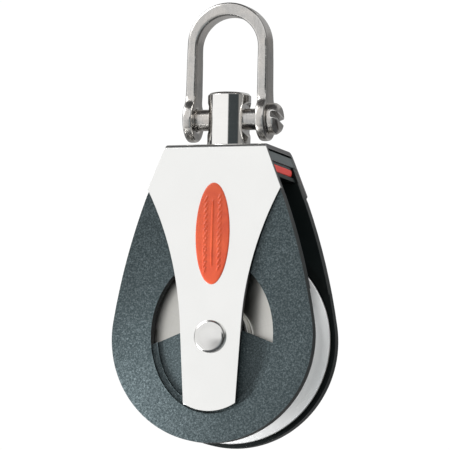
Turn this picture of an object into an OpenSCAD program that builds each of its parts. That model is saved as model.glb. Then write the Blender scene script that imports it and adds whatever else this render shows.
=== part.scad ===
// Single sheave block: a grooved wheel between two moulded cheeks, carried by a stainless strap
// that ends in a swivel post and a bow shackle.
// Origin: centre of the sheave, on the axle. +Z points to the shackle, -Y to the front, +X to the
// right. Millimetres.

/* [Sheave] */
// Outer diameter of the sheave
sheave_d = 75; // [72:0.5:76]
// Width of the sheave between its side faces
sheave_w = 22; // [20:0.5:23]
// Radius of the round bottom of the rope groove
groove_r = 8.5; // [7:0.1:8.8]
// Distance from the axle to the bottom of the groove
groove_floor = 26; // [25:0.5:28]
// Angle between the groove's straight flanks and the sheave's side faces, in degrees
groove_flank = 14; // [8:1:16]
// Depth of the dished ring in each side face
dish_t = 2.8; // [1.2:0.1:3]

/* [Ball bearing] */
// Diameter of one ball
ball_d = 4; // [3.6:0.1:4.2]
// Balls in each of the two rows
ball_count = 12; // [6:1:12]
// Radius of the circle through the ball centres
ball_pitch_r = 8.6; // [8.4:0.05:8.8]
// Distance from the mid-plane to each row of balls
ball_row_y = 5.2; // [4.2:0.1:6]
// Diameter of the axle shaft
axle_d = 10; // [8:0.1:10.4]

/* [Cheeks] */
// Radius of the round lower end of a cheek
cheek_r = 38.8; // [38.2:0.1:41]
// Distance from the mid-plane to a cheek's inner face
cheek_in = 12; // [12:0.1:13]
// Distance from the mid-plane to a cheek's outer face
cheek_out = 15.7; // [15.2:0.1:15.7]
// Radius of the long curved flank between the round end and the shoulder
flank_r = 240; // [200:5:300]
// Angle above the axle at which the flank starts
flank_start = 9; // [6:0.5:14]
// Half the window's width
window_x = 23.6; // [20:0.1:26]
// Half the window's height
window_z = 28.8; // [26:0.1:30]
// Height of the window's centre over the axle
window_up = 0.7; // [0:0.1:2]
// Thickness of the web that closes the window's lower part
web_t = 1.6; // [0.8:0.1:2]
// Thickness of the step round the web
step_t = 2.6; // [2.2:0.1:3]
// Width of the step round the web
step_w = 2.3; // [1:0.1:4]
// Height at which the web's sloping top edges would meet
web_peak = 7; // [4:0.1:9]
// Slope of the web's top edges, in degrees
web_slope = 22; // [10:1:30]
// How far a cheek's tip is cut back below the strap's shoulder
tip_cut = 2.5; // [1.5:0.1:4]
// Radius of the round recess in a cheek's inner face, which clears the sheave
guard_r = 40.3; // [38.5:0.1:42]
// Depth of that recess
guard_t = 0.9; // [0.3:0.1:1.2]

/* [Load strap] */
// Thickness of the strap's sheet
strap_t = 1.8; // [1.2:0.1:1.8]
// Distance from the mid-plane to a leg's outer face at the axle
leg_out = 17.5; // [17.5:0.1:18.5]
// The same at the top, where the legs lean in
leg_top_out = 15.8; // [15.6:0.1:16.2]
// Height at which the legs start to lean in
lean_z = 14; // [6:1:18]
// Outer radius of the bends at the top
bend_r = 2.2; // [2:0.1:4]
// Height of the strap's top face over the axle
strap_top = 71.3; // [70.5:0.1:72]
// Half the strap's width at the top
top_half = 19.15; // [16:0.05:22]
// Height of the shoulders, where the strap is widest
shoulder_z = 54.7; // [52:0.1:56]
// Half the strap's width where its straight lower part ends
waist_half = 11.85; // [11.5:0.05:13]
// Height at which the strap's straight lower part ends
waist_z = 5; // [2:0.5:8]
// Radius of the hollow flank from the waist to the shoulder
hollow_r = 122; // [115:1:140]
// Half the strap's width at its foot
foot_half = 10.1; // [8:0.1:11]
// Depth of the foot's corners below the axle
foot_depth = 24.4; // [15:0.1:27]
// Radius of the foot's curved end
foot_r = 19; // [12:0.1:40]

/* [Axle heads] */
// Radius of an axle head where it meets the strap
head_base_r = 6.1; // [5.8:0.1:8]
// Radius of an axle head's face
head_face_r = 4.95; // [4:0.05:5.5]
// Height of an axle head
head_h = 2.4; // [2:0.1:3.5]

/* [Badge] */
// Half the badge's width
badge_x = 6.5; // [5:0.1:9]
// Half the badge's height
badge_z = 18.8; // [12:0.1:20]
// Height of the badge's centre
badge_up = 38; // [35:0.5:44]
// Thickness of the badge
badge_t = 0.8; // [0.4:0.1:1.5]

/* [Swivel] */
// Diameter of the swivel post
post_d = 16; // [15:0.1:16.4]
// Height of the top of the post
post_top = 91.7; // [90:0.1:95]
// Radius of the flange that holds the post under the top plate
post_flange_r = 11.2; // [10.4:0.1:11.4]
// Height of the shackle pin's axis
shackle_z = 82; // [81.5:0.1:83]
// Radius of the spot faces round the cross hole
spot_r = 6.6; // [5:0.1:7.5]
// Distance from the post's axis to a spot face
spot_x = 6.5; // [6:0.1:7.5]

/* [Lock clip] */
// Height of the clip's lower face
clip_low = 61.4; // [60.8:0.1:61.8]
// Thickness of the clip
clip_h = 2.6; // [2:0.1:2.8]
// Distance from the mid-plane to the clip's outer end
clip_end = 21.2; // [19:0.1:21.5]

/* [Shackle] */
// Diameter of the shackle pin
pin_d = 8; // [6:0.1:8.6]
// Half the clear width between the shackle's legs, and the radius inside its crown
bow_in = 11.8; // [11:0.1:12]
// Thickness of a leg, across the shackle
bow_t = 3.8; // [3:0.1:3.8]
// Thickness of the bow at its crown
crown_t = 5; // [4:0.1:6]
// Height of the centre of the crown's inner round
crown_z = 108.7; // [104:0.1:115]
// Half the bow's depth at its crown
crown_half = 4.1; // [3:0.1:4.2]
// Half the bow's depth where a leg leaves its eye
leg_half = 4.6; // [4.2:0.1:5.2]
// Radius of the hollow between a leg and its eye
neck_r = 4.5; // [2:0.1:6]
// Half the clear width between the eyes
eye_in = 12.2; // [12:0.1:13]
// Thickness of an eye
eye_t = 3.7; // [3.6:0.1:5]
// Radius of an eye
eye_r = 8.2; // [7:0.1:8.3]
// Radius of the shackle pin's head
pin_head_r = 5.9; // [5:0.1:7]
// Length of the shackle pin's head
pin_head_l = 4.2; // [3:0.1:6]
// Width of the driver slot in the pin's head
slot_w = 2.2; // [1:0.1:3]
// How far the driver slot is turned from level, in degrees
slot_turn = 12; // [0:1:90]

/* [Hidden] */
$fn = 72;

// Gaps between neighbours: parts that lie together, parts that run on each other, loose parts.
seat_gap = 0.02;
run_gap = 0.05;
loose_gap = 0.2;
// A cutter reaches this far past the solid it cuts.
past = 1;
// A length longer than the block, for prisms that only their outline limits.
long = 60;

axle_r = axle_d / 2;
ball_r = ball_d / 2;
sheave_r = sheave_d / 2;
sheave_half = sheave_w / 2;
post_r = post_d / 2;
pin_r = pin_d / 2;
foot_z = -foot_depth;
strap_under = strap_top - strap_t;
taper = atan((waist_half - foot_half) / (waist_z - foot_z));

// The sheave's groove, where its round bottom meets the flanks, and the dished ring in its sides:
// its floor rises a little from the hub to the short slope up to the rim.
groove_cr = groove_floor + groove_r;
flank_foot = [groove_cr - groove_r * sin(groove_flank), groove_r * cos(groove_flank)];
rim_edge = 0.6;
dish_in = 12.6;
dish_out = 31;
dish_floor = [13.2, 30.3];
dish_rise = 0.9;

// The bearing: a race on the axle, a track in the sheave and a cap over each row.
race_r = ball_pitch_r - ball_r / 2;
land_r = ball_pitch_r + ball_r / 2 + 0.1;
cap_seat_r = ball_pitch_r + ball_r + 0.8;
cap_in = ball_row_y + 0.8;
cap_out = sheave_half - 0.1;
cap_gap = 0.4;
hub_washer_t = 0.5;
hub_washer_r = 7.4;
race_half = cheek_in - hub_washer_t - 2 * seat_gap;

// The axle's heads: a lightly tapered rim under a dome.
head_rim_h = 0.6;
head_draft = 0.15;
head_dome_r = 30;

// The screw that closes the axle from the rear.
screw_r = 2.5;
screw_l = 12;
screw_slot_w = 1.4;
screw_slot_deep = 1;

// The stack under the top plate: washer, flange, tail of the post.
swivel_washer_t = 1;
flange_top = strap_under - swivel_washer_t - 2 * run_gap;
flange_t = 3;
flange_low = flange_top - flange_t;
bush_r = post_r + 1.3;
bush_rim_r = bush_r + 1.2;
bush_rim_t = 0.5;
post_chamfer = 0.9;
tail_r = 6;
tail_flat = 4.2;
tail_gap = 1;

// The plastic block that fills the head, with a channel for the clip.
spacer_low = 59.4;
spacer_ledge = flange_low - 0.3;
spacer_inset = 0.5;
spacer_top = strap_under - 0.6;
rib_inset = 1.5;
tip_inset = 0.1;
channel_inset = 1.4;
cheek_top = spacer_ledge - loose_gap;
tail_low = clip_low - 0.6;
clip_bar = 2.4;
clip_arm = 2.6;
clip_arm_y = 6.4;
clip_arm_x = 7.4;
clip_half = cheek_in - 1.1;

// The bow's outline: where its neck begins above the eye, and its outer round.
eye_out = eye_in + eye_t;
neck_z = shackle_z + sqrt(pow(neck_r + eye_r, 2) - pow(neck_r + leg_half, 2));
neck_a = asin((neck_z - shackle_z) / (neck_r + eye_r));
flare_z = shackle_z + 5.8;
bow_out = bow_in + bow_t;
crown_out_z = crown_z + crown_t - bow_t;
crown_top = crown_out_z + bow_out;

// ---- Shared shapes ----

// Points of an arc, from angle a0 to a1 in n steps.
function arc(cx, cy, r, a0, a1, n) =
    [for (i = [0:n]) [cx + r * cos(a0 + (a1 - a0) * i / n), cy + r * sin(a0 + (a1 - a0) * i / n)]];

// The right half of an outline, closed by its mirror image.
function mirrored(half) =
    concat(half, [for (i = [len(half) - 1:-1:0]) [-half[i].x, half[i].y]]);

// Points of an ellipse, grown by g.
function ellipse(rx, ry, cy, g) =
    [for (a = [0:5:355]) [(rx + g) * cos(a), cy + (ry + g) * sin(a)]];

// Half the strap's width at the shoulder, and on the straight edge above it.
hollow_cx = waist_half + hollow_r * cos(taper);
hollow_cz = waist_z - hollow_r * sin(taper);
shoulder_a = asin((shoulder_z - hollow_cz) / hollow_r);
shoulder_half = hollow_cx - hollow_r * cos(shoulder_a);
function strap_edge(z) =
    shoulder_half + (top_half - shoulder_half) * (z - shoulder_z) / (strap_top - shoulder_z);

// Distance from the mid-plane to a leg's outer face at height z.
function leg_y(z) =
    z <= lean_z ? leg_out : leg_out - (leg_out - leg_top_out) * (z - lean_z) / (strap_top - lean_z);
lean = atan((leg_out - leg_top_out) / (strap_top - lean_z));

// Turns an outline drawn in X and Z into a plate between two distances in front of the mid-plane.
module plate(y0, y1) {
    rotate([90, 0, 0])
        translate([0, 0, y0])
            linear_extrude(y1 - y0) children();
}

// Turns an outline drawn in Y and Z into a prism along X.
module prism_x(half) {
    rotate([90, 0, 90])
        translate([0, 0, -half])
            linear_extrude(2 * half) children();
}

// A round bar along Y or along X, between two stations.
module bar_y(r, y0, y1) {
    translate([0, y1, 0]) rotate([90, 0, 0]) cylinder(r = r, h = y1 - y0);
}
module bar_x(r, x0, x1) {
    translate([x0, 0, 0]) rotate([0, 90, 0]) cylinder(r = r, h = x1 - x0);
}

// A ring along Y, on the front side of the mid-plane.
module ring_y(r_in, r_out, y0, y1) {
    difference() {
        bar_y(r_out, -y1, -y0);
        bar_y(r_in, -y1 - past, -y0 + past);
    }
}

// A ring along Z.
module ring_z(r_in, r_out, z0, z1) {
    difference() {
        translate([0, 0, z0]) cylinder(r = r_out, h = z1 - z0);
        translate([0, 0, z0 - past]) cylinder(r = r_in, h = z1 - z0 + 2 * past);
    }
}

// The same piece on the rear side.
module rear() {
    mirror([0, 1, 0]) children();
}

// ---- Load strap ----

// The strap seen from the front, grown sideways by g.
module strap_outline(g) {
    end_cz = foot_z + sqrt(pow(foot_r, 2) - pow(foot_half, 2));
    end_a = asin(foot_half / foot_r);
    foot = arc(0, end_cz, foot_r + g, -90, -90 + end_a, 6);
    hollow = arc(hollow_cx, hollow_cz, hollow_r - g, 180 - taper, 180 - shoulder_a, 14);
    polygon(mirrored(concat(foot, hollow, [[top_half + g, strap_top + g]])));
}

// One side of the strap's profile, on a line at depth d inside the outer face.
function profile_side(d) =
    concat(
        [[leg_out - d, foot_z - long], [leg_out - d, lean_z]],
        arc(leg_y(strap_top - bend_r) - bend_r, strap_top - bend_r, bend_r - d, 0, 90, 6)
    );

// The space between the legs, inside the sheet and a gap g.
module strap_inside(g) {
    polygon(mirrored(profile_side(strap_t + g)));
}

module load_strap() {
    color("gainsboro")
        difference() {
            intersection() {
                plate(-long, long) strap_outline(0);
                prism_x(long) difference() {
                    polygon(mirrored(profile_side(0)));
                    polygon(concat(
                        [[-leg_out + strap_t, foot_z - 2 * long]],
                        [[leg_out - strap_t, foot_z - 2 * long]],
                        mirrored(profile_side(strap_t))
                    ));
                }
            }
            bar_y(axle_r + run_gap, -long, long);
            translate([0, 0, strap_under - past]) cylinder(r = bush_r + seat_gap, h = strap_t + 2 * past);
        }
}

// ---- Cheeks ----

module cheek_outline() {
    flank_cx = (cheek_r - flank_r) * cos(flank_start);
    flank_cz = (cheek_r - flank_r) * sin(flank_start);
    flank_end = asin((shoulder_z - tip_cut - flank_cz) / flank_r);
    round_end = arc(0, 0, cheek_r, -90, flank_start, 33);
    flank = arc(flank_cx, flank_cz, flank_r, flank_start, flank_end, 8);
    tip = [shoulder_half - tip_inset, shoulder_z - tip_cut / 2];
    top = [tip, [strap_edge(cheek_top) - spacer_inset, cheek_top]];
    polygon(mirrored(concat(round_end, flank, top)));
}

module window_outline(g) {
    polygon(ellipse(window_x, window_z, window_up, g));
}

// The part of the window, grown by g, that lies under the web's sloping top edges.
module lower_window(g) {
    drop = long * tan(web_slope);
    intersection() {
        window_outline(g);
        polygon([[0, web_peak], [long, web_peak - drop], [long, -long], [-long, -long], [-long, web_peak - drop]]);
    }
}

// The inner face between the sheave and the head, which stands closer to the mid-plane.
module guard() {
    plate(cheek_in - guard_t, cheek_in + past) difference() {
        cheek_outline();
        circle(guard_r);
        translate([-long, spacer_low - loose_gap]) square(2 * long);
    }
}

module cheek() {
    difference() {
        union() {
            guard();
            difference() {
                plate(cheek_in, cheek_out) cheek_outline();
                plate(cheek_in - past, cheek_out + past) window_outline(0);
            }
            plate(cheek_in, cheek_in + web_t) lower_window(past);
            plate(cheek_in, cheek_in + step_t) difference() {
                lower_window(past);
                window_outline(-step_w);
            }
            plate(cheek_in, cheek_out) intersection() {
                window_outline(past);
                strap_outline(-rib_inset);
            }
        }
        difference() {
            plate(cheek_in - past, cheek_out + past) strap_outline(loose_gap);
            prism_x(long) strap_inside(seat_gap);
        }
        bar_y(axle_r + run_gap, -long, 0);
    }
}

module front_cheek() {
    color("slategray") cheek();
}

module rear_cheek() {
    color("slategray") rear() cheek();
}

// ---- Head spacer ----

// The head's outline between two heights, inset from the strap's edges.
module head_outline(z0, z1, inset) {
    polygon(mirrored([[strap_edge(z0) - inset, z0], [strap_edge(z1) - inset, z1]]));
}

module head_spacer() {
    color("dimgray")
        difference() {
            union() {
                intersection() {
                    plate(-long, long) head_outline(spacer_ledge, spacer_top, spacer_inset);
                    prism_x(long) strap_inside(run_gap);
                }
                plate(-cheek_in + run_gap, cheek_in - run_gap)
                    head_outline(spacer_low, spacer_ledge + past, channel_inset);
            }
            translate([0, 0, flange_low - loose_gap])
                cylinder(r = post_flange_r + loose_gap, h = long);
            translate([0, 0, spacer_low - past])
                cylinder(r = tail_r + tail_gap, h = long);
            translate([0, -long, clip_low - loose_gap])
                cube([long, 2 * long, clip_h + 2 * loose_gap]);
        }
}

// ---- Axle and bearing ----

// Half of a domed head's section, from its seat outward.
function head_section(y) =
    concat(
        [[0, y], [head_base_r, y], [head_base_r - head_draft, y + head_rim_h]],
        arc(0, y + head_h - head_dome_r, head_dome_r, 90 - asin(head_face_r / head_dome_r), 90, 6)
    );

module axle_pin() {
    color("silver")
        difference() {
            union() {
                bar_y(axle_r, -leg_out - past, leg_out - run_gap);
                rotate([90, 0, 0]) rotate_extrude() polygon(head_section(leg_out + seat_gap));
            }
            bar_y(screw_r + run_gap, leg_out - screw_l - past, long);
        }
}

module axle_screw() {
    color("silver")
        rear() difference() {
            union() {
                rotate([90, 0, 0]) rotate_extrude() polygon(head_section(leg_out + seat_gap));
                bar_y(screw_r, -leg_out - past, -leg_out + screw_l);
            }
            translate([-long, -leg_out - head_h - past, -screw_slot_w / 2])
                cube([2 * long, past + screw_slot_deep, screw_slot_w]);
        }
}

// The two ball tracks, as cutters with a running gap.
module tracks() {
    rotate([90, 0, 0])
        rotate_extrude()
            for (side = [-1, 1])
                translate([ball_pitch_r, side * ball_row_y]) circle(r = ball_r + run_gap);
}

module inner_race() {
    color("silver")
        difference() {
            bar_y(race_r, -race_half, race_half);
            bar_y(axle_r + run_gap, -long, long);
            tracks();
        }
}

module hub_washer() {
    ring_y(axle_r + run_gap, hub_washer_r, race_half + seat_gap, cheek_in - seat_gap);
}

module front_hub_washer() {
    color("lightgray") hub_washer();
}

module rear_hub_washer() {
    color("lightgray") rear() hub_washer();
}

// The groove's section: a round bottom between straight flanks that reach past the rim.
module groove_section() {
    far = groove_cr + long;
    far_half = flank_foot.y + (far - flank_foot.x) * tan(groove_flank);
    bottom = arc(groove_cr, 0, groove_r, 90 + groove_flank, 270 - groove_flank, 24);
    polygon(concat([[far, far_half]], bottom, [[far, -far_half]]));
}

module sheave() {
    color("lightgray")
        difference() {
            rotate([90, 0, 0])
                rotate_extrude()
                    difference() {
                        polygon([
                            [land_r, -sheave_half], [sheave_r - rim_edge, -sheave_half],
                            [sheave_r, rim_edge - sheave_half], [sheave_r, sheave_half - rim_edge],
                            [sheave_r - rim_edge, sheave_half], [land_r, sheave_half]
                        ]);
                        groove_section();
                        for (side = [-1, 1])
                            polygon([
                                [dish_in, side * sheave_half], [dish_in, side * (sheave_half + past)],
                                [dish_out, side * (sheave_half + past)], [dish_out, side * sheave_half],
                                [dish_floor[1], side * (sheave_half - dish_t + dish_rise)],
                                [dish_floor[0], side * (sheave_half - dish_t)]
                            ]);
                    }
            tracks();
            for (side = [-1, 1])
                bar_y(cap_seat_r, side > 0 ? cap_in : -long, side > 0 ? long : -cap_in);
        }
}

module race_cap() {
    difference() {
        ring_y(race_r + cap_gap, cap_seat_r - seat_gap, cap_in + seat_gap, cap_out);
        tracks();
    }
}

module front_race_cap() {
    color("silver") race_cap();
}

module rear_race_cap() {
    color("silver") rear() race_cap();
}

module ball_row() {
    for (i = [0:ball_count - 1])
        rotate([0, i * 360 / ball_count, 0])
            translate([ball_pitch_r, -ball_row_y, 0]) sphere(r = ball_r);
}

module front_balls() {
    color("white") ball_row();
}

module rear_balls() {
    color("white") rear() ball_row();
}

// ---- Badges ----

module badge() {
    translate([0, -leg_y(badge_up) - seat_gap, badge_up])
        rotate([-lean, 0, 0])
            plate(0, badge_t) polygon(ellipse(badge_x, badge_z, 0, 0));
}

module front_badge() {
    color("orangered") badge();
}

module rear_badge() {
    color("orangered") rear() badge();
}

// ---- Swivel ----

module swivel_bush() {
    color("dimgray") {
        ring_z(post_r + run_gap, bush_r, strap_under, strap_top + bush_rim_t);
        ring_z(post_r + run_gap, bush_rim_r, strap_top + seat_gap, strap_top + bush_rim_t);
    }
}

module swivel_washer() {
    color("lightgray")
        ring_z(post_r + run_gap, post_flange_r, flange_top + run_gap, strap_under - run_gap);
}

module swivel_post() {
    color("silver")
        difference() {
            union() {
                translate([0, 0, flange_low])
                    cylinder(r = post_r, h = post_top - post_chamfer - flange_low);
                translate([0, 0, post_top - post_chamfer])
                    cylinder(r1 = post_r, r2 = post_r - post_chamfer, h = post_chamfer);
                translate([0, 0, flange_low])
                    cylinder(r = post_flange_r, h = flange_t);
                intersection() {
                    translate([0, 0, tail_low]) cylinder(r = tail_r, h = flange_low - tail_low + past);
                    translate([-long, -tail_flat, tail_low]) cube([2 * long, 2 * tail_flat, long]);
                }
            }
            translate([0, 0, shackle_z]) {
                bar_x(pin_r + run_gap, -long, long);
                bar_x(spot_r, spot_x, long);
                bar_x(spot_r, -long, -spot_x);
            }
        }
}

// ---- Lock clip ----

module lock_clip() {
    color("orangered")
        translate([0, 0, clip_low]) {
            translate([clip_end - clip_bar / 2, 0, 0])
                prism_x(clip_bar / 2)
                    polygon(mirrored(arc(clip_half - clip_h / 2, clip_h / 2, clip_h / 2, -90, 90, 8)));
            for (side = [-1, 1])
                translate([clip_arm_x, side * (clip_arm_y + clip_arm / 2) - clip_arm / 2, 0])
                    cube([clip_end - clip_bar - clip_arm_x + past, clip_arm, clip_h]);
        }
}

// ---- Shackle ----

// The bow seen from the front: a horseshoe, thicker at its crown.
module bow_front() {
    low = shackle_z - eye_r - past;
    outer = arc(0, crown_out_z, bow_out, 0, 90, 12);
    inside = [[eye_in, low - past], [eye_in, flare_z], [bow_in, neck_z], [bow_in, crown_z]];
    difference() {
        polygon(mirrored(concat([[eye_out, low], [eye_out, flare_z]], outer)));
        polygon(mirrored(inside));
        translate([0, crown_z]) circle(r = bow_in);
    }
}

// The bow seen from the side: round eyes, hollow necks, legs that narrow to the crown.
module bow_side() {
    hollow = arc(leg_half + neck_r, neck_z, neck_r, 180 + neck_a, 180, 8);
    eye = arc(0, shackle_z, eye_r, -90, neck_a, 24);
    polygon(mirrored(concat(eye, hollow, [[crown_half, crown_top + past]])));
}

module shackle_bow() {
    color("silver")
        difference() {
            intersection() {
                plate(-long, long) bow_front();
                prism_x(long) bow_side();
            }
            translate([0, 0, shackle_z]) bar_x(pin_r + run_gap, -long, long);
        }
}

module shackle_pin() {
    head_x = eye_out + seat_gap;
    head_end = head_x + pin_head_l;
    edge = 0.9;
    slot_deep = 2.4;
    color("silver")
        translate([0, 0, shackle_z])
            difference() {
                union() {
                    bar_x(pin_r, -eye_out, head_x + past);
                    rotate([0, 90, 0])
                        rotate_extrude()
                            polygon([
                                [0, head_x], [pin_head_r, head_x],
                                [pin_head_r, head_end - 2 * edge],
                                [pin_head_r - edge, head_end - edge / 2],
                                [pin_head_r - 2 * edge, head_end], [0, head_end]
                            ]);
                }
                rotate([-slot_turn, 0, 0])
                    translate([head_end - slot_deep, -long, -slot_w / 2])
                        cube([long, 2 * long, slot_w]);
            }
}

load_strap();
front_cheek();
rear_cheek();
head_spacer();
axle_pin();
axle_screw();
front_badge();
rear_badge();
inner_race();
front_hub_washer();
rear_hub_washer();
swivel_bush();
swivel_washer();
sheave();
front_race_cap();
rear_race_cap();
front_balls();
rear_balls();
swivel_post();
lock_clip();
shackle_bow();
shackle_pin();
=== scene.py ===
"""Looks for the single sheave block: materials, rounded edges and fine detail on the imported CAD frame."""
import math

import bmesh
import bpy
from mathutils import Matrix, Vector
from mathutils.bvhtree import BVHTree


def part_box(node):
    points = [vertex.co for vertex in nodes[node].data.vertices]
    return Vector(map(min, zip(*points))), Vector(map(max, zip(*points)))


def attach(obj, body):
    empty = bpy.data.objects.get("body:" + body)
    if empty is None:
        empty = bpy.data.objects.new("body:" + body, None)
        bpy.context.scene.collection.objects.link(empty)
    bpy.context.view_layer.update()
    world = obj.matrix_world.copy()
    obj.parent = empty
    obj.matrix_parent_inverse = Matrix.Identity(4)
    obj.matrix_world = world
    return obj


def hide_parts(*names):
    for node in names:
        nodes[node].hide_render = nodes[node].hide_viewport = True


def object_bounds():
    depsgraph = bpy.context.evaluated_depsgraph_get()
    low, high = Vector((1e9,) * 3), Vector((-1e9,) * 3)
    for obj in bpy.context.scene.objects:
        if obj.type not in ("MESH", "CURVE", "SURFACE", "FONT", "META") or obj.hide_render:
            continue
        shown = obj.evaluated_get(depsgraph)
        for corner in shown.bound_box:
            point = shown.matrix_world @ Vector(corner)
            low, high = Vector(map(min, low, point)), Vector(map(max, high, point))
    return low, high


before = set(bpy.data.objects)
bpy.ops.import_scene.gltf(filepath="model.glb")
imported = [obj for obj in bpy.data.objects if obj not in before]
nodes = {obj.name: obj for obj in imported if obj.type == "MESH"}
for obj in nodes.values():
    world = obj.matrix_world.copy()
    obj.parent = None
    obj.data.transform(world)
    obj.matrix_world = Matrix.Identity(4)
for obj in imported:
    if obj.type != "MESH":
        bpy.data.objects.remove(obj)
cad_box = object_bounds()

MM = 0.001
SMOOTH = math.radians(32)
scene = bpy.context.scene


# ---- Node helpers ----

def add(tree, kind, props=None, ins=None):
    """A shader node with its properties and its inputs set or linked."""
    n = tree.nodes.new(kind)
    for key, value in (props or {}).items():
        setattr(n, key, value)
    for key, value in (ins or {}).items():
        if isinstance(value, bpy.types.NodeSocket):
            tree.links.new(value, n.inputs[key])
        else:
            n.inputs[key].default_value = value
    return n


def math_node(tree, op, a, b=0.0, clamp=False):
    return add(tree, "ShaderNodeMath", {"operation": op, "use_clamp": clamp}, {0: a, 1: b}).outputs[0]


def plus(tree, a, b):
    return math_node(tree, "ADD", a, b)


def times(tree, a, b):
    return math_node(tree, "MULTIPLY", a, b)


def span(tree, value, low, high):
    """Maps 0.3..0.7, where most of a noise texture lies, to low..high."""
    ins = {"Value": value, "From Min": 0.3, "From Max": 0.7, "To Min": low, "To Max": high}
    return add(tree, "ShaderNodeMapRange", {"clamp": True}, ins).outputs["Result"]


def blend_colour(tree, factor, a, b):
    n = add(tree, "ShaderNodeMix", {"data_type": "RGBA"}, {"Factor": factor})
    for i, c in ((6, a), (7, b)):
        if isinstance(c, bpy.types.NodeSocket):
            tree.links.new(c, n.inputs[i])
        else:
            n.inputs[i].default_value = (*c, 1)
    return n.outputs[2]


def coordinates(tree, scale=(1, 1, 1)):
    """Object coordinates in millimetres, times scale."""
    where = add(tree, "ShaderNodeTexCoord").outputs["Object"]
    size = tuple(s / MM for s in scale)
    return add(tree, "ShaderNodeMapping", None, {"Vector": where, "Scale": size}).outputs["Vector"]


def noise(tree, where, scale=1.0, detail=3.0, rough=0.55, distort=0.0):
    ins = {"Vector": where, "Scale": scale, "Detail": detail, "Roughness": rough, "Distortion": distort}
    return add(tree, "ShaderNodeTexNoise", None, ins).outputs["Fac"]


def rings(tree, axis):
    """Coordinates that vary only with the radius from an axis and the height along it, for lathe marks."""
    part = add(tree, "ShaderNodeSeparateXYZ", None, {0: coordinates(tree)}).outputs
    across = [k for k in "XYZ" if k != axis]
    a, b = (math_node(tree, "POWER", part[k], 2) for k in across)
    radius = math_node(tree, "SQRT", plus(tree, a, b))
    return add(tree, "ShaderNodeCombineXYZ", None, {"X": radius, "Y": part[axis]}).outputs[0]


def bump(tree, height, depth, strength=1.0, under=None):
    ins = {"Height": height, "Distance": depth * MM, "Strength": strength}
    if under:
        ins["Normal"] = under
    return add(tree, "ShaderNodeBump", None, ins).outputs["Normal"]


def step(tree, value, start, end):
    """0 before start, 1 after end, with a soft turn at both."""
    ins = {"Value": value, "From Min": start, "From Max": end, "To Min": 0.0, "To Max": 1.0}
    return add(tree, "ShaderNodeMapRange", {"interpolation_type": "SMOOTHSTEP"}, ins).outputs["Result"]


def material(name, build):
    mat = bpy.data.materials.new(name)
    mat.use_nodes = True
    tree = mat.node_tree
    tree.nodes.clear()
    out = add(tree, "ShaderNodeOutputMaterial")
    tree.links.new(build(tree), out.inputs["Surface"])
    return mat


def principled(tree, **ins):
    names = {k.replace("_", " "): v for k, v in ins.items()}
    return add(tree, "ShaderNodeBsdfPrincipled", None, names).outputs["BSDF"]


# ---- Materials ----

def brushed(name, light, dark, rough, grain, depth, blotch=0.06, axis=None, fine=1.0, metal=1.0):
    """Metal with drawn-out grain, or lathe rings when axis is given, and soft cloudy patches."""
    def build(tree):
        where = rings(tree, axis) if axis else coordinates(tree, grain)
        lines = noise(tree, where, 2.2 * fine, 4, 0.6)
        cloud = noise(tree, coordinates(tree), blotch, 3, 0.5, 0.4)
        speck = noise(tree, coordinates(tree), 3.5, 2, 0.6)
        tone = plus(tree, times(tree, cloud, 0.6), times(tree, lines, 0.4))
        colour = blend_colour(tree, span(tree, tone, 0, 1), dark, light)
        worn = plus(tree, span(tree, lines, -0.25, 0.25), span(tree, speck, -0.15, 0.15))
        gloss = times(tree, plus(tree, worn, 1.0), rough)
        return principled(
            tree, Base_Color=colour, Metallic=metal, Roughness=gloss,
            Normal=bump(tree, lines, depth, 0.5, bump(tree, cloud, depth * 4, 0.25)),
        )
    return material(name, build)


def turned(name, light, dark, rough, depth):
    """A turned disc: fine rings, and soft radial streaks of light and dark that widen away from its axis,
    painted in as the reflections of turned metal.
    """
    def build(tree):
        part = add(tree, "ShaderNodeSeparateXYZ", None, {0: coordinates(tree)}).outputs
        flat = add(tree, "ShaderNodeCombineXYZ", None, {"X": part["X"], "Y": part["Z"]}).outputs[0]
        aim = add(tree, "ShaderNodeVectorMath", {"operation": "NORMALIZE"}, {0: flat}).outputs[0]
        sheen_streaks = noise(tree, aim, 3.5, 4, 0.6)
        lines = noise(tree, rings(tree, "Y"), 1.1, 4, 0.6)
        cloud = noise(tree, coordinates(tree), 0.12, 3, 0.5)
        # Most of the colour's light and dark comes from the streaks: painted reflection.
        tone = plus(tree, times(tree, sheen_streaks, 0.65), times(tree, lines, 0.15))
        tone = plus(tree, tone, times(tree, cloud, 0.2))
        colour = blend_colour(tree, span(tree, tone, 0, 1), dark, light)
        gloss = times(tree, span(tree, sheen_streaks, 0.85, 1.15), rough)
        return principled(
            tree, Base_Color=colour, Metallic=1.0, Roughness=gloss,
            Normal=bump(tree, lines, depth, 0.4, bump(tree, sheen_streaks, depth * 6, 0.2)),
        )
    return material(name, build)


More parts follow.
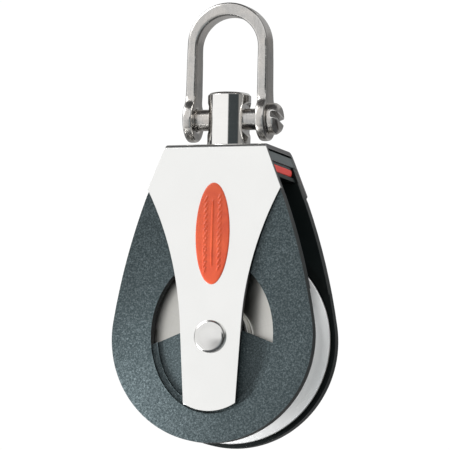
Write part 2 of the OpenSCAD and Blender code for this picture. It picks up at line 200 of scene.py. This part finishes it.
def cast(name, light, dark, rough, depth):
    """Tumbled cast steel: polishing streaks, fine pits, soft dents, painted shade in the hollows, and ridges
    rubbed smoother by tumbling with a painted highlight on top.
    """
    def build(tree):
        where = coordinates(tree)
        pits = noise(tree, where, 2.6, 5, 0.7)
        streaks = noise(tree, coordinates(tree, (1.5, 1.5, 0.12)), 1.3, 4, 0.6)
        dents = noise(tree, where, 0.22, 2, 0.5)
        film = noise(tree, where, 0.09, 3, 0.6, 0.6)
        hollow = add(tree, "ShaderNodeNewGeometry").outputs["Pointiness"]
        tone = plus(tree, times(tree, film, 0.5), times(tree, streaks, 0.5))
        colour = blend_colour(tree, span(tree, tone, 0, 1), dark, light)
        warm = tuple(c * t for c, t in zip(light, (1.0, 0.93, 0.86)))
        colour = blend_colour(tree, span(tree, film, 0, 0.8), colour, warm)
        colour = blend_colour(tree, span(tree, pits, 0.45, 0), colour, tuple(c * 0.5 for c in dark))
        # Hollows, where pointiness is low, are painted near-black: painted shade.
        ins = {"Value": hollow, "From Min": 0.46, "From Max": 0.495, "To Min": 0.8, "To Max": 0.0}
        hollow_shade = add(tree, "ShaderNodeMapRange", None, ins).outputs["Result"]
        colour = blend_colour(tree, hollow_shade, colour, (0.1, 0.098, 0.095))
        # Ridges, where pointiness is high, are rubbed smoother by tumbling, and also painted near-white as a
        # highlight.
        ins = {"Value": hollow, "From Min": 0.506, "From Max": 0.53}
        ridge = add(tree, "ShaderNodeMapRange", None, ins).outputs["Result"]
        colour = blend_colour(tree, ridge, colour, (0.90, 0.89, 0.87))
        gloss = times(tree, span(tree, pits, 0.8, 1.25), rough)
        gloss = times(tree, gloss, math_node(tree, "SUBTRACT", 1.0, times(tree, ridge, 0.5)))
        tall = bump(tree, streaks, depth, 0.3, bump(tree, dents, depth * 5, 0.3))
        return principled(
            tree, Base_Color=colour, Metallic=1.0, Roughness=gloss,
            Normal=bump(tree, pits, depth, 0.45, tall),
        )
    return material(name, build)


def moulded(name, base, fleck, rough, depth, size=1.0, amount=0.35, shine=0.25):
    """Moulded plastic: a spark-eroded grain with pale flecks, and slow changes of gloss."""
    def build(tree):
        where = coordinates(tree)
        grain = noise(tree, where, 2.1 / size, 3, 0.65)
        ins = {"Vector": where, "Scale": 1.9 / size}
        cell = add(tree, "ShaderNodeTexVoronoi", None, ins).outputs["Distance"]
        cloud = noise(tree, where, 0.05, 3, 0.55)
        spots = span(tree, noise(tree, where, 3.4 / size, 4, 0.75), 0, 1)
        flecks = times(tree, math_node(tree, "POWER", spots, 2.2), amount)
        colour = blend_colour(tree, flecks, base, fleck)
        colour = blend_colour(tree, span(tree, cloud, 0.0, 0.22), colour, tuple(c * 0.6 for c in base))
        gloss = times(tree, span(tree, cloud, 0.85, 1.15), rough)
        tall = plus(tree, grain, times(tree, cell, 0.4))
        return principled(
            tree, Base_Color=colour, Roughness=gloss, IOR=1.5, Specular_IOR_Level=shine,
            Normal=bump(tree, tall, depth, 0.8),
        )
    return material(name, build)


def glossy(name, base, dark, rough, coat, depth=0.02):
    """Smooth coloured plastic with faint flow marks under a clear skin."""
    def build(tree):
        where = coordinates(tree)
        flow = noise(tree, where, 0.12, 3, 0.5, 1.2)
        skin = noise(tree, where, 0.7, 2, 0.5)
        fine = noise(tree, where, 4.0, 3, 0.6)
        colour = blend_colour(tree, span(tree, flow, 0, 1), dark, base)
        pale = tuple(min(1, c * 1.3 + 0.02) for c in base)
        colour = blend_colour(tree, span(tree, fine, 0, 0.12), colour, pale)
        gloss = times(tree, span(tree, fine, 0.85, 1.2), rough)
        return principled(
            tree, Base_Color=colour, Roughness=gloss, IOR=1.5, Coat_Weight=coat, Coat_Roughness=0.12,
            Normal=bump(tree, skin, depth, 0.4),
        )
    return material(name, build)


mats = {
    "strap": brushed(
        "strap_polish", (0.89, 0.89, 0.875), (0.85, 0.85, 0.835), 0.2, (1, 1, 0.06), 0.002, 0.05,
    ),
    # The strap's cut edges below the shoulders and on the rear leg: a near-black painted shade, not the
    # steel's own colour.
    "strap_edge": brushed(
        "strap_rim_painted_shade", (0.09, 0.09, 0.095), (0.05, 0.05, 0.055), 0.3, (0.1, 1, 1), 0.01, 0.2,
    ),
    "cheek": moulded(
        "cheek_grain", (0.024, 0.038, 0.042), (0.22, 0.27, 0.285), 0.5, 0.16, 2.2, 0.75, 0.2,
    ),
    # A darker copy of the cheek plastic for the rounded outer rim: painted shade along the edge.
    "cheek_rim_shade": moulded(
        "cheek_rim_shade", (0.020, 0.027, 0.029), (0.12, 0.14, 0.145), 0.35, 0.05, 1.4, 0.3,
    ),
    # Near-black painted shade for the cheeks' walls, window rims and inner faces, and for the hollow under
    # the head block.
    "painted_shade_plastic": moulded(
        "painted_shade_plastic", (0.006, 0.009, 0.009), (0.02, 0.024, 0.025), 0.4, 0.01, 1.0, 0.2, 0.15,
    ),
    "head": moulded("head_grain", (0.055, 0.068, 0.070), (0.17, 0.20, 0.205), 0.4, 0.05, 1.2, 0.35),
    "sheave": turned("sheave_turned", (0.72, 0.71, 0.68), (0.58, 0.57, 0.53), 0.34, 0.004),
    "groove": brushed(
        "sheave_groove", (0.93, 0.94, 0.94), (0.82, 0.83, 0.83), 0.22, None, 0.002, 0.05, "Y", 0.4, 0.45,
    ),
    "polish": brushed(
        "post_polish", (0.90, 0.89, 0.87), (0.84, 0.83, 0.81), 0.09, None, 0.0015, 0.08, "Z", 1.4,
    ),
    "axle": brushed(
        "axle_polish", (0.80, 0.795, 0.78), (0.70, 0.695, 0.68), 0.17, None, 0.003, 0.1, "Y", 1.0,
    ),
    "cast": cast("shackle_cast", (0.74, 0.735, 0.725), (0.46, 0.455, 0.445), 0.2, 0.05),
    "bearing": brushed(
        "bearing_ground", (0.72, 0.73, 0.74), (0.55, 0.56, 0.57), 0.22, None, 0.003, 0.2, "Y", 1.2,
    ),
    "ball": glossy("ball_gloss", (0.85, 0.84, 0.80), (0.74, 0.73, 0.68), 0.22, 0.3),
    "bush": moulded("bush_smooth", (0.03, 0.03, 0.033), (0.12, 0.12, 0.12), 0.4, 0.02, 0.7, 0.2),
    "badge": glossy("badge_orange", (0.77, 0.108, 0.030), (0.64, 0.072, 0.022), 0.4, 0.04, 0.03),
    "clip": glossy("clip_red", (0.70, 0.04, 0.03), (0.56, 0.025, 0.02), 0.3, 0.2),
    # A slightly darker, more orange copy of the clip's red for its faces towards ±X: painted shade, not a
    # second plastic.
    "clip_end": glossy("clip_end", (0.66, 0.055, 0.035), (0.52, 0.030, 0.030), 0.35, 0.1),
}


# ---- Mesh helpers ----

def welded(node):
    """A CAD node's mesh as a bmesh with whole flat faces, apart from a seam that keeps rings open."""
    bm = bmesh.new()
    bm.from_mesh(nodes[node].data)
    bmesh.ops.remove_doubles(bm, verts=bm.verts, dist=0.002 * MM)
    every = bm.verts[:] + bm.edges[:] + bm.faces[:]
    cut = bmesh.ops.bisect_plane(bm, geom=every, dist=0.001 * MM, plane_co=(0, 0, 0), plane_no=(1, 0, 0))
    for part in cut["geom_cut"]:
        if isinstance(part, bmesh.types.BMEdge):
            part.seam = True
    bmesh.ops.dissolve_limit(
        bm, angle_limit=math.radians(0.5), verts=bm.verts, edges=bm.edges, delimit={"SEAM"},
    )
    return bm


def finish_piece(bm, name, body, node, slot, *parts):
    """The bmesh as a smooth-shaded piece that rides on a body and stands for a CAD node."""
    mesh = bpy.data.meshes.new(name)
    bmesh.ops.recalc_face_normals(bm, faces=bm.faces)
    bm.to_mesh(mesh)
    bm.free()
    for key in parts:
        mesh.materials.append(mats[key])
    mesh.polygons.foreach_set("use_smooth", [True] * len(mesh.polygons))
    mesh.set_sharp_from_angle(angle=SMOOTH)
    obj = bpy.data.objects.new(name, mesh)
    scene.collection.objects.link(obj)
    normals = obj.modifiers.new("normals", "WEIGHTED_NORMAL")
    normals.keep_sharp = True
    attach(obj, body)
    if node:
        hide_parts(node)
    return obj


def rounded(bm, width, steps=3, sharp=35, pick=None, index=1):
    """Rounds the sharp edges that pick accepts, and gives the new faces material number index."""
    limit = math.radians(sharp)
    edges = [
        e for e in bm.edges
        if len(e.link_faces) == 2 and e.calc_face_angle(0) > limit and (pick is None or pick(e))
    ]
    made = bmesh.ops.bevel(
        bm, geom=edges, offset=width * MM, offset_type="OFFSET", segments=steps, profile=0.5,
        affect="EDGES", clamp_overlap=True, material=index, miter_outer="ARC", miter_inner="SHARP",
    )
    return made["faces"]


def middle(edge):
    return (edge.verts[0].co + edge.verts[1].co) / 2


def lathe(profile, axis, steps=192):
    """A closed solid of revolution from (radius, height) points in millimetres; axis is Y or Z."""
    bm = bmesh.new()
    loops = []
    for k in range(steps):
        a = 2 * math.pi * k / steps
        c, s = math.cos(a), math.sin(a)
        ring = []
        for r, h in profile:
            p = (r * c, h, r * s) if axis == "Y" else (r * c, r * s, h)
            ring.append(bm.verts.new(Vector(p) * MM))
        loops.append(ring)
    n = len(profile)
    for k in range(steps):
        a, b = loops[k], loops[(k + 1) % steps]
        for i in range(n):
            j = (i + 1) % n
            bm.faces.new((a[i], a[j], b[j], b[i]))
    bmesh.ops.remove_doubles(bm, verts=bm.verts, dist=0.0005 * MM)
    bmesh.ops.delete(bm, geom=[e for e in bm.edges if not e.link_faces], context="EDGES")
    return bm


def fillet(points, radii, steps=4):
    """A polyline of (r, h) points in millimetres with its corners rounded; a radius of 0 keeps the corner."""
    out = []
    n = len(points)
    for i, (p, r) in enumerate(zip(points, radii)):
        if not r:
            out.append(tuple(p))
            continue
        p, a, b = Vector(p), Vector(points[i - 1]), Vector(points[(i + 1) % n])
        u, v = (a - p).normalized(), (b - p).normalized()
        for k in range(steps + 1):
            t = k / steps
            out.append(tuple(p + u * r * (1 - t) ** 2 + v * r * t ** 2))
    return out


# ---- Load strap ----

def on_edge(face):
    """A cut edge of the strap: its normal lies across both the face and the bend."""
    n = face.normal
    return abs(n.x) > 0.8 or (face.calc_center_median().z < 0 and n.z < -0.6)


strap_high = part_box("load_strap")[1]
# Height of the strap's shoulders, above which the front leg's cut edges keep the polished colour; below it,
# and all along the rear leg, they are painted near-black as shade.
SHOULDER = 54.7 * MM

bm = welded("load_strap")
for f in bm.faces:
    if on_edge(f):
        m = f.calc_center_median()
        # Cut edges below the shoulders and on the rear leg get the near-black painted shade.
        bright = m.z > SHOULDER and (m.y < -0.4 * strap_high.y or m.z > strap_high.z - 2.5 * MM)
        f.material_index = 0 if bright else 1


def plain_edge(edge):
    """An edge of the front leg or of the bridge over the top."""
    m = middle(edge)
    return m.y < 0 or m.z > strap_high.z - 6 * MM


rounded(bm, 0.14, 2, 35, plain_edge, 0)
# The rear leg's rounded edges get the painted shade as well.
rounded(bm, 0.14, 2, 35, lambda edge: not plain_edge(edge), 1)
finish_piece(bm, "strap_sheet", "frame", "load_strap", "polished_strap", "strap", "strap_edge")

strap_bm = welded("load_strap")
strap_tree = BVHTree.FromBMesh(strap_bm)
strap_bm.free()


# ---- Cheeks ----

# The oval window, a little wider than its opening, and the height of its centre.
WINDOW_X, WINDOW_Z, WINDOW_UP = 24.2, 29.4, 0.7


def clear_of_strap(edge):
    return strap_tree.find_nearest(middle(edge))[3] > 0.45 * MM


def in_window(p):
    """Inside the oval window or on its edge."""
    return (p.x / (WINDOW_X * MM)) ** 2 + ((p.z - WINDOW_UP * MM) / (WINDOW_Z * MM)) ** 2 < 1


def level(edge):
    """An edge that keeps the same distance from the mid-plane."""
    a, b = (v.co.y for v in edge.verts)
    return abs(a - b) < 0.02 * MM


def outer_rim(edge):
    return clear_of_strap(edge) and level(edge) and not in_window(middle(edge))


def window_rim(edge):
    return clear_of_strap(edge) and level(edge) and in_window(middle(edge))


for side, node in (("front", "front_cheek"), ("rear", "rear_cheek")):
    way = -1 if side == "front" else 1
    bm = welded(node)
    # The outer rim's rounding gets the darker painted rim shade, the window's rounding the near-black painted
    # shade.
    rounded(bm, 0.45, 3, 35, outer_rim, 1)
    rounded(bm, 0.22, 2, 35, window_rim, 2)
    bm.normal_update()
    # Faces that don't face outwards, such as walls and inner faces, get the near-black painted shade.
    for f in bm.faces:
        if f.material_index == 0 and f.normal.y * way < 0.7:
            f.material_index = 2
    finish_piece(
        bm, side + "_cheek_shell", "frame", node, "cheek_plastic", "cheek", "cheek_rim_shade", "painted_shade_plastic",
    )


# ---- Head ----

clip_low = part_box("lock_clip")[0].z

bm = welded("head_spacer")
rounded(bm, 0.3, 2, 35)
bm.normal_update()
# Faces below the clip, and level faces just above its underside, get the near-black painted shade of the
# hollow under the head.
for f in bm.faces:
    m = f.calc_center_median()
    if m.z < clip_low + 0.2 * MM or (m.z < clip_low + 3.2 * MM and abs(f.normal.z) > 0.5):
        f.material_index = 1
    else:
        f.material_index = 0
finish_piece(bm, "head_block", "frame", "head_spacer", "head_plastic", "head", "painted_shade_plastic")

bm = welded("lock_clip")
rounded(bm, 0.35, 3, 35)
bm.normal_update()
for f in bm.faces:
    # Faces towards ±X get the darker, more orange painted shade copy of the red.
    f.material_index = 1 if abs(f.normal.x) > 0.5 else 0
finish_piece(bm, "clip_bar", "lock_clip", "lock_clip", "orange_clip", "clip", "clip_end")


# ---- Axle heads ----

# An axle head, in millimetres: its seat on the strap, its base, its straight rim, the rounded shoulder
# on that rim, and the shallow dome that closes it.
HEAD_SEAT = 17.55
HEAD_R, HEAD_RIM_R, HEAD_RIM_H = 6.1, 6.08, 0.5
SHOULDER_AT, SHOULDER_R, SHOULDER_LOSS = 4.75, 1.33, 0.88
DOME_EDGE_R, DOME_R = 4.5, 30


def axle_part(node, way, shaft_r, shaft_end, slot_w=0):
    """A pin or screw along Y with a low domed head; way is -1 for a head in front and 1 behind."""
    low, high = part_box(node)
    tall = max(-low.y, high.y) / MM - HEAD_SEAT
    points = [(0, shaft_end * -way), (shaft_r, shaft_end * -way), (shaft_r, HEAD_SEAT * way)]
    points += [(HEAD_R, HEAD_SEAT * way), (HEAD_RIM_R, (HEAD_SEAT + HEAD_RIM_H) * way)]
    profile = fillet(points, [0, 0, 0, 0.1, 0], 4)
    for k in range(1, 13):
        a = math.radians(84 * k / 12)
        up = HEAD_SEAT + HEAD_RIM_H + (tall - SHOULDER_LOSS) * math.sin(a)
        profile.append((SHOULDER_AT + SHOULDER_R * math.cos(a), up * way))
    for k in range(1, 8):
        r = DOME_EDGE_R * (1 - k / 7)
        profile.append((r, (HEAD_SEAT + tall - DOME_R + math.sqrt(DOME_R ** 2 - r * r)) * way))
    bm = lathe(profile, "Y", 128)
    if slot_w:
        cutter = bmesh.new()
        made = bmesh.ops.create_cube(cutter, size=1)["verts"]
        bmesh.ops.scale(cutter, verts=made, vec=Vector((30, 3, slot_w)) * MM)
        bmesh.ops.translate(cutter, verts=made, vec=Vector((0, (HEAD_SEAT + tall + 0.3) * way, 0)) * MM)
        bm = carved(bm, cutter)
    return bm


def carved(bm, cutter):
    """The first bmesh with the second cut away."""
    pair = []
    for part in (bm, cutter):
        mesh = bpy.data.meshes.new("carve")
        bmesh.ops.recalc_face_normals(part, faces=part.faces)
        part.to_mesh(mesh)
        part.free()
        pair.append(bpy.data.objects.new("carve", mesh))
        scene.collection.objects.link(pair[-1])
    cut = pair[0].modifiers.new("cut", "BOOLEAN")
    cut.object = pair[1]
    cut.operation = "DIFFERENCE"
    cut.solver = "EXACT"
    seen = pair[0].evaluated_get(bpy.context.evaluated_depsgraph_get())
    out = bmesh.new()
    out.from_mesh(seen.to_mesh())
    seen.to_mesh_clear()
    for obj in pair:
        mesh = obj.data
        bpy.data.objects.remove(obj)
        bpy.data.meshes.remove(mesh)
    return out


def smooth_head(obj):
    """Lets the head's shading follow its curve instead of its largest faces."""
    obj.modifiers.clear()
    return obj


bm = axle_part("axle_pin", -1, 4.0, 17.4)
smooth_head(finish_piece(bm, "axle_head", "frame", "axle_pin", "polished_steel", "axle"))
bm = axle_part("axle_screw", 1, 2.4, -9.0, 1.6)
finish_piece(bm, "axle_screw_head", "frame", "axle_screw", "polished_steel", "axle")


# ---- Badges ----

def relief(x, z):
    """Height of the badge's raised pattern in millimetres: a line with slanted rope strokes on both sides."""
    def bar(d, along, half_w, half_l):
        away = math.hypot(d, max(0.0, abs(along) - half_l))
        return max(0.0, min(1.0, (half_w + 0.18 - away) / 0.24))

    tall = bar(x, z, 0.2, 12.0)
    side = 1 if x > 0 else -1
    u = abs(x) - 2.7
    for k in range(-6, 7):
        v = z - 2.2 * k - (0.5 if side > 0 else -0.5)
        if abs(v) < 2 and abs(u) < 2:
            lean = 1.05 * side
            across = v * math.cos(lean) - u * math.sin(lean)
            along = v * math.sin(lean) + u * math.cos(lean)
            tall = max(tall, bar(across, along, 0.26, 1.3 - 0.08 * abs(k)))
    return tall


def badge(node, piece):
    """A domed oval with a raised pattern, on the CAD badge's outline."""
    low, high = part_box(node)
    centre = (low + high) / 2
    face = max(nodes[node].data.polygons, key=lambda p: abs(p.normal.y) * p.area)
    away = face.normal.copy()
    if away.y * centre.y < 0:
        away.negate()
    outline = [v.co.copy() for v in nodes[node].data.vertices]
    base = min((p - centre).dot(away) for p in outline)
    top = max((p - centre).dot(away) for p in outline)
    across = Vector((1, 0, 0))
    up = across.cross(away).normalized()
    if up.z < 0:
        up.negate()
    half_x = max(abs(p.x - centre.x) for p in outline)
    half_z = max(abs((p - centre).dot(up)) for p in outline)
    bm = bmesh.new()
    steps = 160

    def place(x, z, h):
        return bm.verts.new(centre + across * x + up * z + away * (base + (top - base) * h))

    # The wall and its rounded shoulder are rings; the face is a grid of arcs between two sides of the oval.
    rim = [(0.985, 0.0), (1.0, 0.12), (1.0, 0.32), (0.99, 0.46), (0.965, 0.56), (0.935, 0.62)]
    loops = []
    for r, h in rim:
        angles = [2 * math.pi * k / steps for k in range(steps)]
        loops.append([place(half_x * r * math.cos(a), half_z * r * math.sin(a), h) for a in angles])
    for a, b in zip(loops, loops[1:]):
        for k in range(steps):
            j = (k + 1) % steps
            bm.faces.new((a[k], a[j], b[j], b[k]))
    bm.faces.new(loops[0])
    r_in, h_in = rim[-1]
    quarter = steps // 4
    columns = 72
    rows = []
    for i in range(-quarter, quarter + 1):
        right, left = loops[-1][i % steps], loops[-1][(2 * quarter - i) % steps]
        if right is left:
            rows.append([right])
            continue
        z = half_z * r_in * math.sin(2 * math.pi * i / steps)
        reach = half_x * r_in * math.cos(2 * math.pi * i / steps)
        row = [left]
        for c in range(1, columns):
            x = reach * (2 * c / columns - 1)
            edge = (x / (half_x * r_in)) ** 2 + (z / (half_z * r_in)) ** 2
            rise = 0.3 * (1 - edge)
            rise += 0.30 * relief(x / MM, z / MM) * min(1.0, max(0.0, (1 - edge) * 6))
            row.append(place(x, z, h_in + rise))
        row.append(right)
        rows.append(row)
    for a, b in zip(rows, rows[1:]):
        if len(a) == 1 or len(b) == 1:
            tip, row = (a[0], b) if len(a) == 1 else (b[0], a)
            for c in range(columns):
                bm.faces.new((tip, row[c], row[c + 1]))
            continue
        for c in range(columns):
            bm.faces.new((a[c], a[c + 1], b[c + 1], b[c]))
    finish_piece(bm, piece, "frame", node, "orange_badge", "badge")


badge("front_badge", "front_badge_dome")
badge("rear_badge", "rear_badge_dome")


# ---- Swivel post and shackle ----

bm = welded("swivel_post")
rounded(bm, 0.18, 2, 35)
finish_piece(bm, "swivel_post_turned", "swivel", "swivel_post", "polished_steel", "polish", "polish")


def softened(node, voxel, turns, fill):
    """A CAD node's shape with every edge worn round, as tumbling leaves a casting, and filled out again."""
    mesh = nodes[node].data.copy()
    obj = bpy.data.objects.new("soften", mesh)
    scene.collection.objects.link(obj)
    grid = obj.modifiers.new("grid", "REMESH")
    grid.mode = "VOXEL"
    grid.voxel_size = voxel * MM
    wear = obj.modifiers.new("wear", "SMOOTH")
    wear.factor = 0.5
    wear.iterations = turns
    swell = obj.modifiers.new("swell", "DISPLACE")
    swell.strength = fill * MM
    swell.mid_level = 0
    seen = obj.evaluated_get(bpy.context.evaluated_depsgraph_get())
    bm = bmesh.new()
    bm.from_mesh(seen.to_mesh())
    seen.to_mesh_clear()
    bpy.data.objects.remove(obj)
    bpy.data.meshes.remove(mesh)
    return bm


# The eyes' bore: the height of its axis and its radius, with the pin's running gap.
PIN_Z = 82 * MM
BORE_R = 4.05 * MM

bm = softened("shackle_bow", 0.22, 110, 0.03)
bore = bmesh.new()
along_x = Matrix.Translation((0, 0, PIN_Z)) @ Matrix.Rotation(math.pi / 2, 4, "Y")
bmesh.ops.create_cone(
    bore, cap_ends=True, segments=96, radius1=BORE_R, radius2=BORE_R, depth=60 * MM, matrix=along_x,
)
finish_piece(carved(bm, bore), "shackle_bow_cast", "shackle", "shackle_bow", "cast_steel", "cast")
bm = softened("shackle_pin", 0.2, 16, 0)
finish_piece(bm, "shackle_pin_turned", "shackle_pin", "shackle_pin", "cast_steel", "cast")


# ---- Sheave ----

sheave_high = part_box("sheave")[1]

# The sheave's section, in millimetres: ball track, land, cap seat, dished ring, rim and groove.
rim = sheave_high.x / MM
half_w = sheave_high.y / MM
BALL_AT, ROW_Y, TRACK_R = 8.6, 5.2, 2.12
LAND_R = 9.72
SEAT_R, SEAT_Y = 11.4, 6.1
DISH_IN, DISH_OUT = (12.6, 13.2), (30.3, 31)
DISH_DEEP = (2.8, 1.9)
RIM_EDGE, RIM_LAND = 0.6, 1.5
GROOVE_AT, GROOVE_R = 34.5, 8.5

track = []
for d in range(-58, 24, 9):
    a = math.radians(d)
    track.append((BALL_AT + TRACK_R * math.cos(a), ROW_Y + TRACK_R * math.sin(a), 0))
# Points from the bore out to the rim, on one side: radius, distance from the mid-plane, rounding.
half = [(LAND_R, 0, 0)] + track + [
    (track[-1][0], SEAT_Y, 0), (SEAT_R, SEAT_Y, 0.05), (SEAT_R, half_w, 0.15),
    (DISH_IN[0], half_w, 0.3), (DISH_IN[1], half_w - DISH_DEEP[0], 0.5),
    (DISH_OUT[0], half_w - DISH_DEEP[1], 0.5), (DISH_OUT[1], half_w, 0.4),
    (rim - RIM_EDGE, half_w, 0.3), (rim, half_w - RIM_EDGE, 0.3), (rim, half_w - RIM_LAND, 0.4),
]
profile = fillet([(r, h) for r, h, soft in half], [soft for r, h, soft in half], 4)
for k in range(15):
    a = math.radians(76 * (1 - k / 14))
    profile.append((GROOVE_AT - GROOVE_R * math.cos(a), GROOVE_R * math.sin(a)))
profile += [(r, -h) for r, h in reversed(profile[1:-1])]
bm = lathe(profile, "Y", 256)

# Where the groove's flanks start, half its width there, and how fast it widens; then its lowest radius.
FLANK_R, FLANK_HALF, FLANK_SLOPE = 32.44, 8.25, 0.249
GROOVE_LOW = 25.9


def groove_half(r):
    """Half the groove's width at a radius: a round bottom, then straight flanks."""
    if r > FLANK_R:
        return FLANK_HALF + (r - FLANK_R) * FLANK_SLOPE
    return math.sqrt(max(0.0, GROOVE_R ** 2 - (GROOVE_AT - r) ** 2))


for f in bm.faces:
    m = f.calc_center_median() / MM
    r = math.hypot(m.x, m.z)
    if r > GROOVE_LOW and abs(m.y) < groove_half(r) + 0.1:
        f.material_index = 1
finish_piece(bm, "sheave_wheel", "sheave", "sheave", "sheave_metal", "sheave", "groove")


# ---- CAD nodes that stay ----

for node, key in {
    "inner_race": "bearing", "front_hub_washer": "bearing", "rear_hub_washer": "bearing",
    "swivel_washer": "bearing", "front_race_cap": "bearing", "rear_race_cap": "bearing",
    "front_balls": "ball", "rear_balls": "ball", "swivel_bush": "bush",
}.items():
    kept = nodes[node].data.materials
    kept.clear()
    kept.append(mats[key])


# ---- Floor, light and camera ----

def floor_shader(tree):
    """Pale and matt from above and unseen from below."""
    cloud = noise(tree, coordinates(tree), 0.004, 3, 0.5)
    colour = blend_colour(tree, span(tree, cloud, 0, 1), (0.80, 0.80, 0.79), (0.86, 0.86, 0.85))
    lit = add(tree, "ShaderNodeBsdfDiffuse", None, {"Color": colour}).outputs[0]
    clear = add(tree, "ShaderNodeBsdfTransparent").outputs[0]
    back = add(tree, "ShaderNodeNewGeometry").outputs["Backfacing"]
    return add(tree, "ShaderNodeMixShader", None, {0: back, 1: lit, 2: clear}).outputs[0]


FLOOR_DROP = 0.30
bm = bmesh.new()
bmesh.ops.create_circle(bm, cap_ends=True, segments=96, radius=3.0)
mesh = bpy.data.meshes.new("floor")
bm.to_mesh(mesh)
bm.free()
floor = bpy.data.objects.new("floor", mesh)
floor.location.z = cad_box[0].z - FLOOR_DROP
mesh.materials.append(material("floor_pale", floor_shader))
scene.collection.objects.link(floor)
floor.visible_glossy = False

# Brightness by angle from the front towards the right, in degrees: level with the part, below and above.
LEVEL = [
    (-180, 0.28), (-162, 0.12), (-128, 0.12), (-122, 0.42), (-107, 0.42), (-103, 0.05), (-86, 0.05),
    (-82, 1.02), (-30, 1.02), (10, 1.02), (14, 0.06), (66, 0.06), (72, 0.34), (90, 0.26),
    (125, 0.19), (150, 0.27), (180, 0.28),
]
LOW = [
    (-180, 0.45), (-150, 0.40), (-135, 0.10), (-118, 0.10), (-100, 0.55), (-60, 1.15), (-20, 0.95),
    (-13, 0.70), (-4, 0.5), (2, 0.42), (8, 0.5), (14, 0.45), (40, 0.25), (60, 0.05), (135, 0.06),
    (150, 0.35), (180, 0.45),
]
HIGH = [
    (-180, 0.5), (-120, 0.3), (-95, 0.9), (15, 1.0), (45, 1.0), (58, 0.5), (75, 0.25), (120, 0.2), (150, 0.6),
    (180, 0.5),
]
# Tints of the stops at these angles, at any height.
TINT = {72: (1.0, 0.97, 0.92), 14: (0.85, 1.0, 1.05), 66: (0.85, 1.0, 1.05)}


def horizon(tree, around, stops_wanted):
    ramp = add(tree, "ShaderNodeValToRGB", None, {0: around})
    stops = ramp.color_ramp.elements
    while len(stops) < len(stops_wanted):
        stops.new(0.5)
    for stop, (angle, level) in zip(stops, stops_wanted):
        tint = TINT.get(angle, (1, 1, 1))
        stop.position = angle / 360 + 0.5
        stop.color = (*(level * t for t in tint), 1)
    return ramp.outputs[0]


def world_shader(world):
    tree = world.node_tree
    tree.nodes.clear()
    way = add(tree, "ShaderNodeTexCoord").outputs["Generated"]
    part = add(tree, "ShaderNodeSeparateXYZ", None, {0: way}).outputs
    turn = math_node(tree, "ARCTAN2", part["X"], times(tree, part["Y"], -1))
    around = plus(tree, math_node(tree, "DIVIDE", turn, 2 * math.pi), 0.5)
    colour = horizon(tree, around, LEVEL)
    colour = blend_colour(tree, step(tree, part["Z"], 0.05, -0.05), colour, horizon(tree, around, LOW))
    colour = blend_colour(tree, step(tree, part["Z"], 0.2, 0.33), colour, horizon(tree, around, HIGH))
    colour = blend_colour(tree, step(tree, part["Z"], 0.72, 0.9), colour, (0.08, 0.08, 0.082))
    colour = blend_colour(tree, step(tree, part["Z"], -0.5, -0.7), colour, (0.10, 0.105, 0.11))
    room = add(tree, "ShaderNodeBackground", None, {"Color": colour, "Strength": 1.0}).outputs[0]
    paper = add(tree, "ShaderNodeBackground", None, {"Color": (1, 1, 1, 1), "Strength": 1.03}).outputs[0]
    path = add(tree, "ShaderNodeLightPath").outputs["Is Camera Ray"]
    mixed = add(tree, "ShaderNodeMixShader", None, {0: path, 1: room, 2: paper}).outputs[0]
    out = add(tree, "ShaderNodeOutputWorld")
    tree.links.new(mixed, out.inputs["Surface"])


world = bpy.data.worlds.new("studio")
world.use_nodes = True
world_shader(world)
scene.world = world


def soft_light(name, spot, aim, size, power, tint=(1, 1, 1), mirrored=True):
    """A square soft light at one point, aimed at another; points are in millimetres."""
    data = bpy.data.lights.new(name, "AREA")
    data.shape = "SQUARE"
    data.size = size * MM
    data.energy = power
    data.color = tint
    obj = bpy.data.objects.new(name, data)
    obj.location = Vector(spot) * MM
    way = (Vector(aim) - Vector(spot)).normalized()
    obj.rotation_mode = "QUATERNION"
    obj.rotation_quaternion = way.to_track_quat("-Z", "Y")
    obj.visible_camera = False
    obj.visible_glossy = mirrored
    scene.collection.objects.link(obj)
    return obj


soft_light("key", (-600, -380, 600), (0, 0, 40), 450, 3.2)
low_left = soft_light("low_left", (-95, -50, -62), (-28, -16, -24), 40, 0.042)
low_left.data.spread = math.radians(60)
soft_light("right_fill", (260, -40, 110), (10, 0, 50), 120, 0.30, (1, 1, 1), False)
soft_light("rear_fill", (380, 520, 420), (0, 0, 40), 400, 2.0, (1, 1, 1), False)

VIEW_AZ, VIEW_EL, VIEW_ROLL = 18.5, -6.09, 1.05
VIEW_AT = Vector((-0.90, 0, 42.91)) * MM
VIEW_FAR = 2204 * MM

cam = bpy.data.objects.new("camera", bpy.data.cameras.new("camera"))
scene.collection.objects.link(cam)
scene.camera = cam
cam.data.sensor_width = 36
cam.data.lens = 477.5
a, e, roll = (math.radians(v) for v in (VIEW_AZ, VIEW_EL, VIEW_ROLL))
back = Vector((math.sin(a) * math.cos(e), -math.cos(a) * math.cos(e), math.sin(e)))
right = Vector((math.cos(a), math.sin(a), 0))
up = back.cross(right)
axis_x = right * math.cos(roll) + up * math.sin(roll)
axis_y = up * math.cos(roll) - right * math.sin(roll)
facing = Matrix((axis_x, axis_y, back)).transposed().to_4x4()
cam.matrix_world = Matrix.Translation(VIEW_AT + back * VIEW_FAR) @ facing
cam.data.clip_start, cam.data.clip_end = 0.1, 20

scene.view_settings.view_transform = "Standard"
